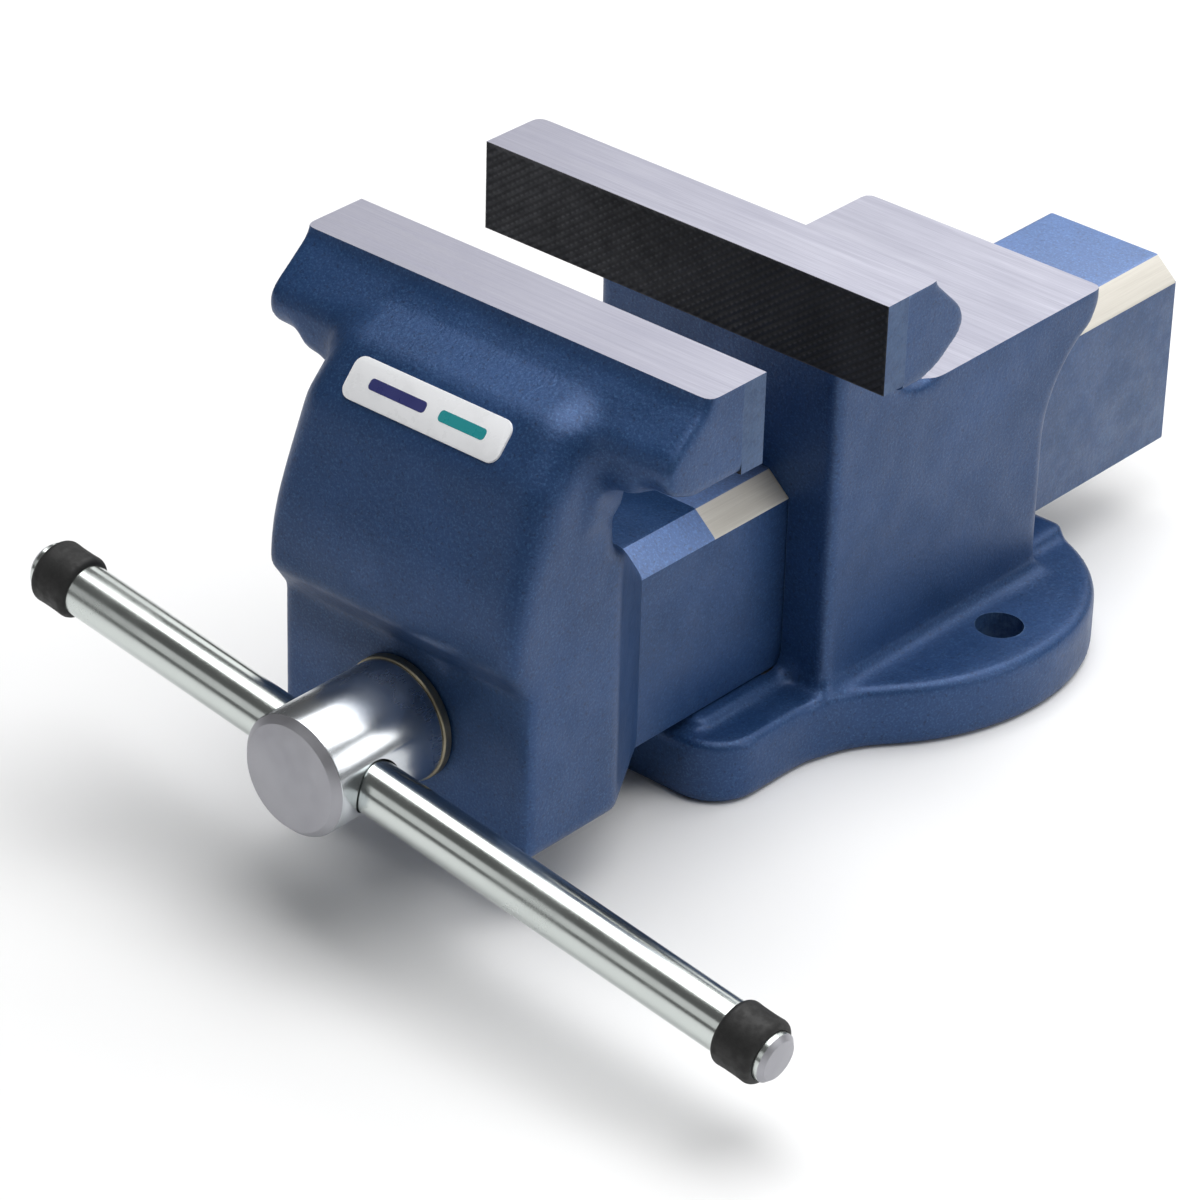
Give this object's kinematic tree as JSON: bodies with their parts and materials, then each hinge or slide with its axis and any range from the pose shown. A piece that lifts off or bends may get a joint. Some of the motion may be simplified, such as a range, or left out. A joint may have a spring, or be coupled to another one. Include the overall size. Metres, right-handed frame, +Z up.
{
  "type": "bench vise",
  "caption": "Cast bench vise with a wide serrated jaw pair, a flat anvil, a square slide, a lead screw with a sliding handle and a round bolted foot.",
  "frame": {"origin": "on the underside of the foot, midway between its two bolt holes", "axes": "+X to the user's right when standing at the handle, +Y away from the handle along the screw, +Z up"},
  "size_m": [0.2771, 0.3703, 0.167],
  "materials": {
    "body_paint": "satin blue paint over cast iron, slightly orange-peeled",
    "machined_iron": "ground flat, fine lengthwise lines",
    "jaw_steel": "blackened, serrated face, ground top",
    "plain_steel": "turned, lightly oiled",
    "plated_steel": "bright zinc or chrome plate",
    "black_steel": "oil blackened",
    "bronze": "turned, slightly dull",
    "rubber": "matte black",
    "badge": "satin white, blank"
  },
  "bodies": {
    "body": {"fixed_body": "body_paint", "rear_jaw_plate": "jaw_steel", "rear_plate_dowels": "plain_steel", "spindle_nut": "bronze", "nut_bolt": "black_steel", "nut_bolt_washer": "plain_steel", "nut_dowel": "plain_steel"},
    "jaw": {"moving_jaw": "body_paint", "front_jaw_plate": "jaw_steel", "front_plate_dowels": "plain_steel", "name_plate": "badge"},
    "spindle": {"spindle_shank": "plain_steel", "lead_screw": "plain_steel", "spindle_head": "plated_steel", "head_pin": "plain_steel", "thrust_washer": "bronze", "spring_washer": "plain_steel", "spindle_spring": "black_steel", "retaining_collar": "black_steel", "collar_pin": "plain_steel"},
    "handle": {"handle_bar": "plated_steel", "handle_ring_right": "rubber", "handle_ring_left": "rubber"}
  },
  "joints": [
    {"name": "jaw_slide", "type": "slide", "parent": "body", "child": "jaw", "axis": [0, 1, 0], "range_m": [-0.0996, 0.0525]},
    {"name": "spindle_turn", "type": "hinge", "parent": "jaw", "child": "spindle", "pos_m": [0, -0.2296, 0.054], "axis": [0, 1, 0], "range_deg": [-5970, 3144]},
    {"name": "handle_slide", "type": "slide", "parent": "spindle", "child": "handle", "axis": [0.9903, 0, -0.1392], "range_m": [-0.1285, 0.0785]}
  ],
  "couplings": [
    {"joint": "jaw_slide", "follows": "spindle_turn", "m_per_rad": 0.00095493}
  ]
}
